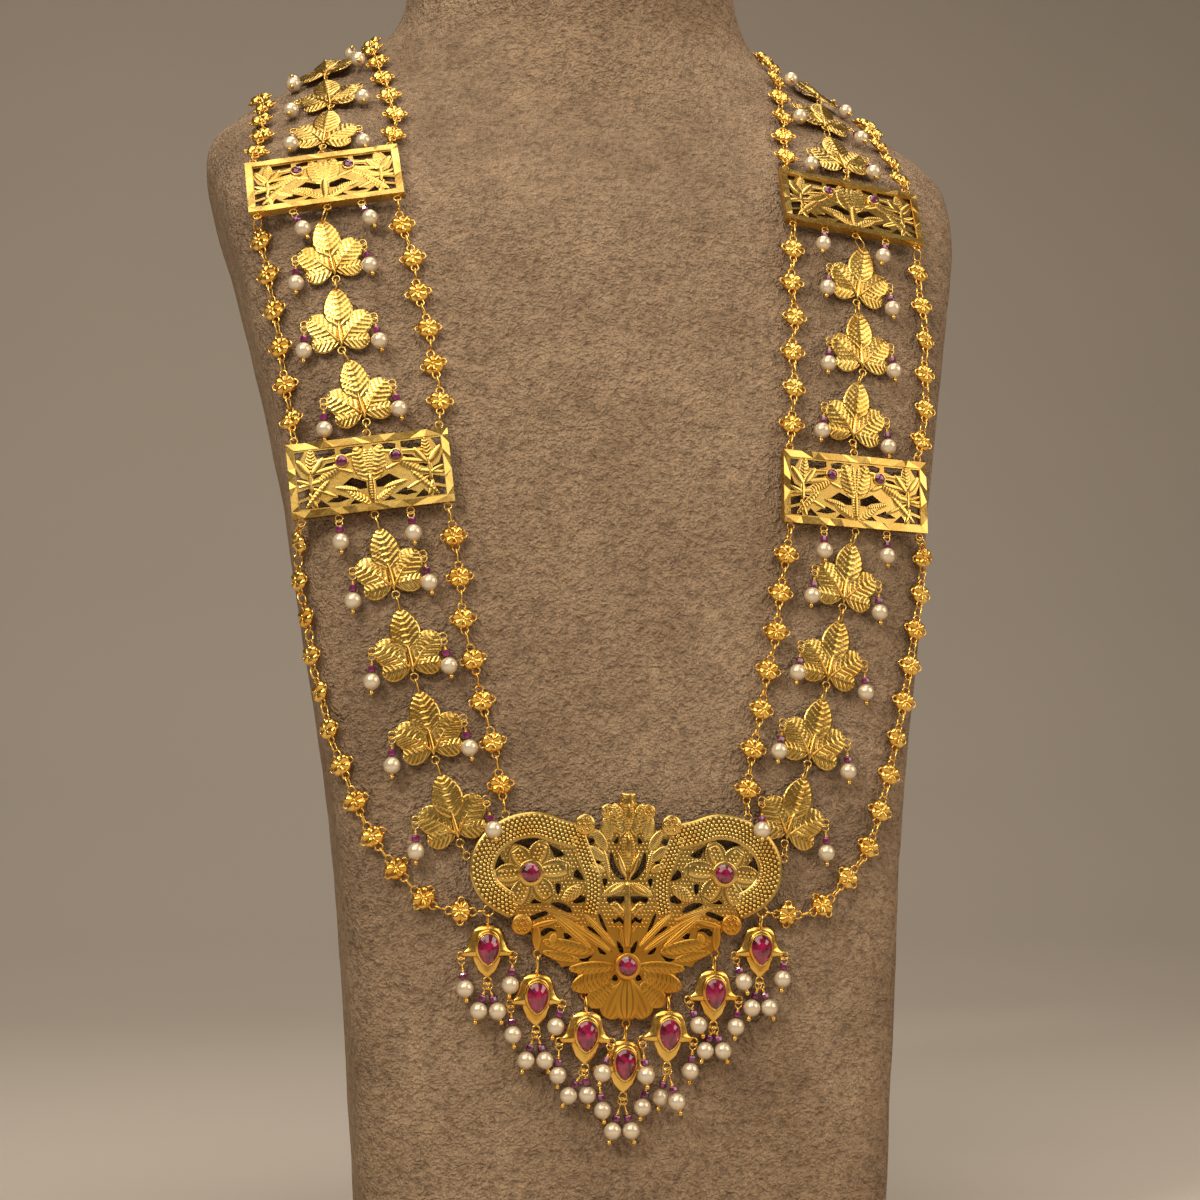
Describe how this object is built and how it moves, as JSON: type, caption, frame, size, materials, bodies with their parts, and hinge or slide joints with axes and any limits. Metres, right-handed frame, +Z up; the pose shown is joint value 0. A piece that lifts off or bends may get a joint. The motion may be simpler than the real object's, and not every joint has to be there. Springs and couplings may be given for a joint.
{
  "type": "long temple necklace on a neck bust",
  "caption": "Long gold-coloured necklace of flower chains, leaf strands, pierced plaques, a large pierced pendant and bell drops with red stones and pearls, on a plain neck bust.",
  "frame": {"origin": "centre of the bust's flat underside", "axes": "+Z up along the neck, -Y out of the chest towards the viewer, +X to the viewer's right"},
  "size_m": [0.2564, 0.1846, 0.455],
  "materials": {
    "plaster": "matt, finely pebbled plaster",
    "gold": "rich yellow gold plating, polished high spots and darker recesses",
    "ruby": "faceted dark red stone",
    "pearl": "cream pearl lustre"
  },
  "bodies": {
    "root": {"bust": "plaster", "pendant_plate": "gold", "pendant_ruby_left": "ruby", "pendant_ruby_right": "ruby", "pendant_ruby_low": "ruby", "drop_1": "gold", "drop_2": "gold", "drop_3": "gold", "drop_4": "gold", "drop_5": "gold", "drop_6": "gold", "drop_7": "gold", "drop_ruby_1": "ruby", "drop_ruby_2": "ruby", "drop_ruby_3": "ruby", "drop_ruby_4": "ruby", "drop_ruby_5": "ruby", "drop_ruby_6": "ruby", "drop_ruby_7": "ruby", "drop_pearls": "pearl", "plaque_low_left": "gold", "plaque_mid_left": "gold", "plaque_top_left": "gold", "plaque_low_right": "gold", "plaque_mid_right": "gold", "plaque_top_right": "gold", "inner_low_left": "gold", "outer_low_left": "gold", "leaves_low_left": "gold", "inner_mid_left": "gold", "outer_mid_left": "gold", "leaves_mid_left": "gold", "inner_top_left": "gold", "outer_top_left": "gold", "leaves_top_left": "gold", "inner_low_right": "gold", "outer_low_right": "gold", "leaves_low_right": "gold", "inner_mid_right": "gold", "outer_mid_right": "gold", "leaves_mid_right": "gold", "inner_top_right": "gold", "outer_top_right": "gold", "leaves_top_right": "gold", "inner_back_left": "gold", "outer_back_left": "gold", "inner_back_right": "gold", "outer_back_right": "gold", "strand_pearls_left": "pearl", "strand_pearls_right": "pearl", "clasp": "gold"}
  },
  "joints": []
}
